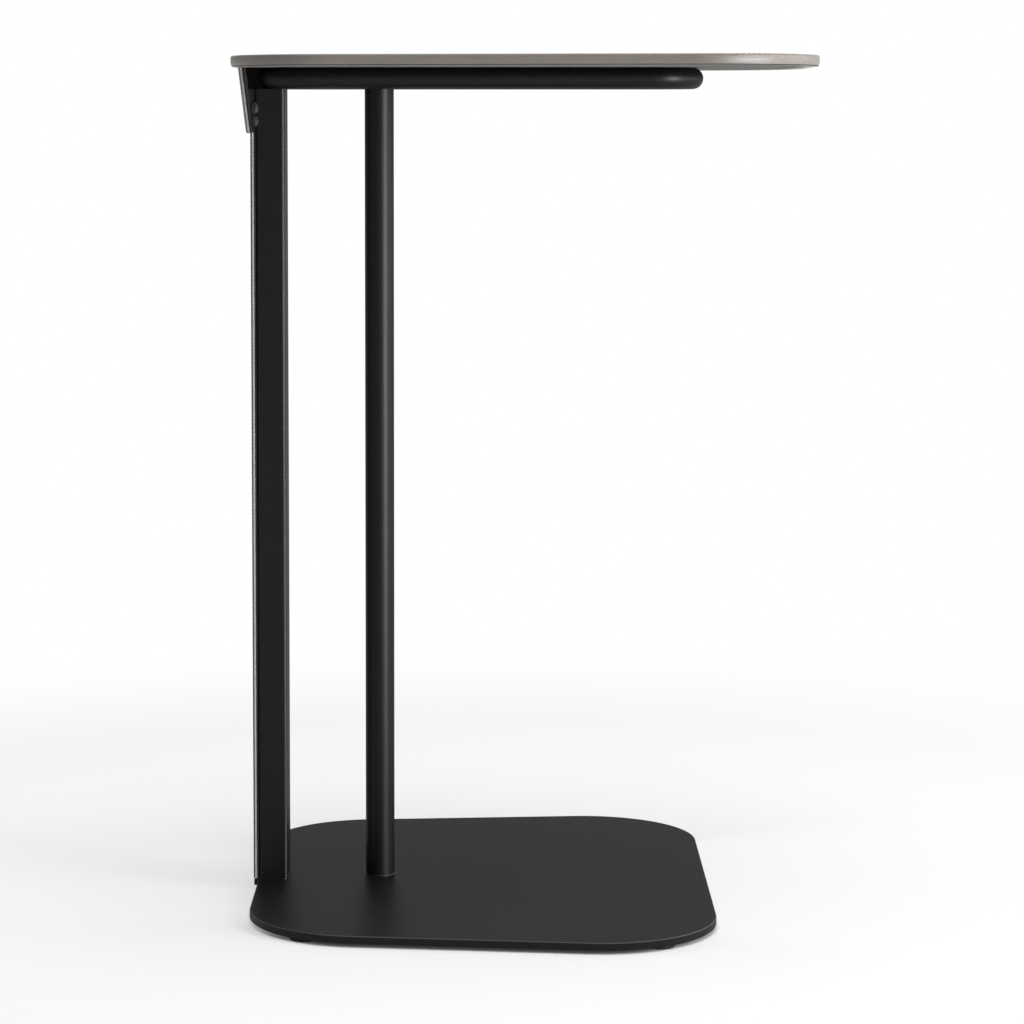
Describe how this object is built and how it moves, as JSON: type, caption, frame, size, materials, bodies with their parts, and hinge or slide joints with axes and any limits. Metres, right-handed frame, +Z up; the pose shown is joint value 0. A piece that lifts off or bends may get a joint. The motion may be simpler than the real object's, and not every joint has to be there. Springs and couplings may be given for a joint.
{
  "type": "side table",
  "caption": "C-shaped side table: leather-covered top on a tube loop, a flat bar and a round rod as uprights at its rear, and a thin steel base plate that slides under a seat.",
  "frame": {"origin": "on the floor, under the middle of the tabletop", "axes": "+Z up, +X from the uprights towards the open front, +Y across the table"},
  "size_m": [0.433, 0.4226, 0.633],
  "materials": {
    "taupe_leather": "smooth, low sheen",
    "board": "raw board, hidden",
    "black_steel": "satin black powder coat",
    "plated_steel": "zinc plated",
    "insert_brass": "plain, hidden",
    "pad_rubber": "matt",
    "black_tape": "matt"
  },
  "bodies": {
    "root": {"tabletop_cover": "taupe_leather", "tabletop_backing": "taupe_leather", "tabletop_core": "board", "tabletop_inserts": "insert_brass", "tabletop_screws": "plated_steel", "frame_loop": "black_steel", "rear_cross_plate": "black_steel", "rod_cross_plate": "black_steel", "front_cross_plate": "black_steel", "upright_bar": "black_steel", "bar_cap": "black_steel", "bar_foot_block": "black_steel", "upright_rod": "black_steel", "rod_foot_plug": "black_steel", "base_plate": "black_steel", "bar_screws": "plated_steel", "rod_foot_screw": "plated_steel", "foot_pads": "pad_rubber", "leather_strip": "taupe_leather", "strip_backing_tape": "black_tape", "tab_wedge": "black_steel", "leather_tab": "taupe_leather", "corner_weld_beads": "black_steel"}
  },
  "joints": []
}
